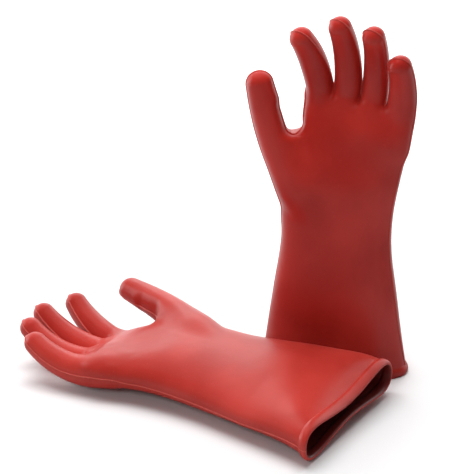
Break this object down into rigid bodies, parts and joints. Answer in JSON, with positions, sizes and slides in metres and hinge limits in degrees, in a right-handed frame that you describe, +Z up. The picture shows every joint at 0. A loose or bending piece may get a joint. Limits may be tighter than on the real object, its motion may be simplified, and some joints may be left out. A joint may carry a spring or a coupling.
{
  "type": "electrical insulating gloves",
  "caption": "Pair of moulded red rubber gauntlet gloves for live electrical work: one stands on its beaded cuff, its mate lies palm up in front; seamed sheets, curled fingers.",
  "frame": {"origin": "centre of the pair's bounding box, on the floor", "axes": "+Z up, from the standing left glove's cuff to its fingertips; -Y towards the lying right glove and the way the standing palm faces; +X towards the standing glove, away from the lying glove's fingertips"},
  "size_m": [0.3822, 0.3012, 0.3579],
  "materials": {
    "left_palm_rubber": "satin",
    "left_back_rubber": "satin",
    "left_bead_rubber": "satin",
    "right_palm_rubber": "satin",
    "right_back_rubber": "satin",
    "right_bead_rubber": "satin"
  },
  "bodies": {
    "right_gauntlet": {"right_gauntlet_palm": "right_palm_rubber", "right_gauntlet_back": "right_back_rubber", "right_cuff_bead": "right_bead_rubber"},
    "right_hand": {"right_hand_palm": "right_palm_rubber", "right_hand_back": "right_back_rubber"},
    "right_thumb_proximal": {"right_thumb_proximal_palm": "right_palm_rubber", "right_thumb_proximal_back": "right_back_rubber"},
    "right_thumb_distal": {"right_thumb_distal_palm": "right_palm_rubber", "right_thumb_distal_back": "right_back_rubber"},
    "right_index_proximal": {"right_index_proximal_palm": "right_palm_rubber", "right_index_proximal_back": "right_back_rubber"},
    "right_index_distal": {"right_index_distal_palm": "right_palm_rubber", "right_index_distal_back": "right_back_rubber"},
    "right_middle_proximal": {"right_middle_proximal_palm": "right_palm_rubber", "right_middle_proximal_back": "right_back_rubber"},
    "right_middle_distal": {"right_middle_distal_palm": "right_palm_rubber", "right_middle_distal_back": "right_back_rubber"},
    "right_ring_proximal": {"right_ring_proximal_palm": "right_palm_rubber", "right_ring_proximal_back": "right_back_rubber"},
    "right_ring_distal": {"right_ring_distal_palm": "right_palm_rubber", "right_ring_distal_back": "right_back_rubber"},
    "right_little_proximal": {"right_little_proximal_palm": "right_palm_rubber", "right_little_proximal_back": "right_back_rubber"},
    "right_little_distal": {"right_little_distal_palm": "right_palm_rubber", "right_little_distal_back": "right_back_rubber"},
    "left_gauntlet": {"left_gauntlet_palm": "left_palm_rubber", "left_gauntlet_back": "left_back_rubber", "left_cuff_bead": "left_bead_rubber"},
    "left_hand": {"left_hand_palm": "left_palm_rubber", "left_hand_back": "left_back_rubber"},
    "left_thumb_proximal": {"left_thumb_proximal_palm": "left_palm_rubber", "left_thumb_proximal_back": "left_back_rubber"},
    "left_thumb_distal": {"left_thumb_distal_palm": "left_palm_rubber", "left_thumb_distal_back": "left_back_rubber"},
    "left_index_proximal": {"left_index_proximal_palm": "left_palm_rubber", "left_index_proximal_back": "left_back_rubber"},
    "left_index_distal": {"left_index_distal_palm": "left_palm_rubber", "left_index_distal_back": "left_back_rubber"},
    "left_middle_proximal": {"left_middle_proximal_palm": "left_palm_rubber", "left_middle_proximal_back": "left_back_rubber"},
    "left_middle_distal": {"left_middle_distal_palm": "left_palm_rubber", "left_middle_distal_back": "left_back_rubber"},
    "left_ring_proximal": {"left_ring_proximal_palm": "left_palm_rubber", "left_ring_proximal_back": "left_back_rubber"},
    "left_ring_distal": {"left_ring_distal_palm": "left_palm_rubber", "left_ring_distal_back": "left_back_rubber"},
    "left_little_proximal": {"left_little_proximal_palm": "left_palm_rubber", "left_little_proximal_back": "left_back_rubber"},
    "left_little_distal": {"left_little_distal_palm": "left_palm_rubber", "left_little_distal_back": "left_back_rubber"}
  },
  "joints": [
    {"name": "left_glove_lift", "type": "slide", "parent": "right_gauntlet", "child": "left_gauntlet", "axis": [0, 0, 1], "range_m": [0, 0.3]},
    {"name": "right_wrist", "type": "hinge", "parent": "right_gauntlet", "child": "right_hand", "pos_m": [-0.00242, 0.00238, 0.02991], "axis": [0.4968, 0.8605, 0.1132], "range_deg": [-25, 25]},
    {"name": "right_thumb_knuckle", "type": "hinge", "parent": "right_hand", "child": "right_thumb_proximal", "pos_m": [-0.05744, 0.11155, 0.04653], "axis": [0.5746, 0.4195, 0.7028], "range_deg": [-12, 35]},
    {"name": "right_thumb_middle", "type": "hinge", "parent": "right_thumb_proximal", "child": "right_thumb_distal", "pos_m": [-0.07183, 0.12668, 0.04875], "axis": [0.5536, 0.4467, 0.7029], "range_deg": [-12, 35]},
    {"name": "right_index_knuckle", "type": "hinge", "parent": "right_hand", "child": "right_index_proximal", "pos_m": [-0.1103, 0.1, 0.01776], "axis": [0.6692, 0.7405, 0.0613], "range_deg": [-15, 45]},
    {"name": "right_index_middle", "type": "hinge", "parent": "right_index_proximal", "child": "right_index_distal", "pos_m": [-0.12605, 0.1147, 0.02568], "axis": [0.7031, 0.711, -0.0101], "range_deg": [-15, 45]},
    {"name": "right_middle_knuckle", "type": "hinge", "parent": "right_hand", "child": "right_middle_proximal", "pos_m": [-0.12622, 0.07524, 0.01566], "axis": [0.5097, 0.8532, 0.1105], "range_deg": [-15, 45]},
    {"name": "right_middle_middle", "type": "hinge", "parent": "right_middle_proximal", "child": "right_middle_distal", "pos_m": [-0.14826, 0.08877, 0.02325], "axis": [0.5764, 0.8136, 0.0758], "range_deg": [-15, 45]},
    {"name": "right_ring_knuckle", "type": "hinge", "parent": "right_hand", "child": "right_ring_proximal", "pos_m": [-0.13746, 0.05018, 0.01563], "axis": [0.4691, 0.8755, 0.1162], "range_deg": [-15, 45]},
    {"name": "right_ring_middle", "type": "hinge", "parent": "right_ring_proximal", "child": "right_ring_distal", "pos_m": [-0.16047, 0.06247, 0.02216], "axis": [0.5156, 0.8504, 0.1042], "range_deg": [-15, 45]},
    {"name": "right_little_knuckle", "type": "hinge", "parent": "right_hand", "child": "right_little_proximal", "pos_m": [-0.14455, 0.02152, 0.02195], "axis": [0.482, 0.8683, 0.1174], "range_deg": [-15, 45]},
    {"name": "right_little_middle", "type": "hinge", "parent": "right_little_proximal", "child": "right_little_distal", "pos_m": [-0.15941, 0.02976, 0.02781], "axis": [0.5442, 0.8342, 0.0893], "range_deg": [-15, 45]},
    {"name": "left_wrist", "type": "hinge", "parent": "left_gauntlet", "child": "left_hand", "pos_m": [0.11855, 0.06579, 0.15], "axis": [0.9636, -0.2672, 0], "range_deg": [-25, 25]},
    {"name": "left_thumb_knuckle", "type": "hinge", "parent": "left_hand", "child": "left_thumb_proximal", "pos_m": [0.05305, 0.07296, 0.25239], "axis": [0.8743, 0.3998, 0.2752], "range_deg": [-12, 35]},
    {"name": "left_thumb_middle", "type": "hinge", "parent": "left_thumb_proximal", "child": "left_thumb_distal", "pos_m": [0.04744, 0.07257, 0.27244], "axis": [0.8854, 0.3959, 0.2436], "range_deg": [-12, 35]},
    {"name": "left_index_knuckle", "type": "hinge", "parent": "left_hand", "child": "left_index_proximal", "pos_m": [0.099, 0.08494, 0.29191], "axis": [0.9271, -0.3116, 0.2084], "range_deg": [-15, 45]},
    {"name": "left_index_middle", "type": "hinge", "parent": "left_index_proximal", "child": "left_index_distal", "pos_m": [0.09227, 0.07884, 0.31304], "axis": [0.8921, -0.3744, 0.2528], "range_deg": [-15, 45]},
    {"name": "left_middle_knuckle", "type": "hinge", "parent": "left_hand", "child": "left_middle_proximal", "pos_m": [0.1271, 0.07583, 0.29335], "axis": [0.9627, -0.27, 0.0148], "range_deg": [-15, 45]},
    {"name": "left_middle_middle", "type": "hinge", "parent": "left_middle_proximal", "child": "left_middle_distal", "pos_m": [0.12452, 0.06836, 0.31933], "axis": [0.9485, -0.3029, 0.0927], "range_deg": [-15, 45]},
    {"name": "left_ring_knuckle", "type": "hinge", "parent": "left_hand", "child": "left_ring_proximal", "pos_m": [0.15235, 0.0657, 0.2906], "axis": [0.9641, -0.2637, -0.0316], "range_deg": [-15, 45]},
    {"name": "left_ring_middle", "type": "hinge", "parent": "left_ring_proximal", "child": "left_ring_distal", "pos_m": [0.15162, 0.05862, 0.3168], "axis": [0.9609, -0.2762, 0.0215], "range_deg": [-15, 45]},
    {"name": "left_little_knuckle", "type": "hinge", "parent": "left_hand", "child": "left_little_proximal", "pos_m": [0.176, 0.04942, 0.2826], "axis": [0.9647, -0.2628, -0.0169], "range_deg": [-15, 45]},
    {"name": "left_little_middle", "type": "hinge", "parent": "left_little_proximal", "child": "left_little_distal", "pos_m": [0.17467, 0.04343, 0.2997], "axis": [0.9553, -0.2905, 0.0545], "range_deg": [-15, 45]}
  ],
  "couplings": [
    {"joint": "right_thumb_middle", "follows": "right_thumb_knuckle", "ratio": 1},
    {"joint": "right_index_middle", "follows": "right_index_knuckle", "ratio": 1},
    {"joint": "right_middle_middle", "follows": "right_middle_knuckle", "ratio": 1},
    {"joint": "right_ring_middle", "follows": "right_ring_knuckle", "ratio": 1},
    {"joint": "right_little_middle", "follows": "right_little_knuckle", "ratio": 1},
    {"joint": "left_thumb_middle", "follows": "left_thumb_knuckle", "ratio": 1},
    {"joint": "left_index_middle", "follows": "left_index_knuckle", "ratio": 1},
    {"joint": "left_middle_middle", "follows": "left_middle_knuckle", "ratio": 1},
    {"joint": "left_ring_middle", "follows": "left_ring_knuckle", "ratio": 1},
    {"joint": "left_little_middle", "follows": "left_little_knuckle", "ratio": 1}
  ]
}
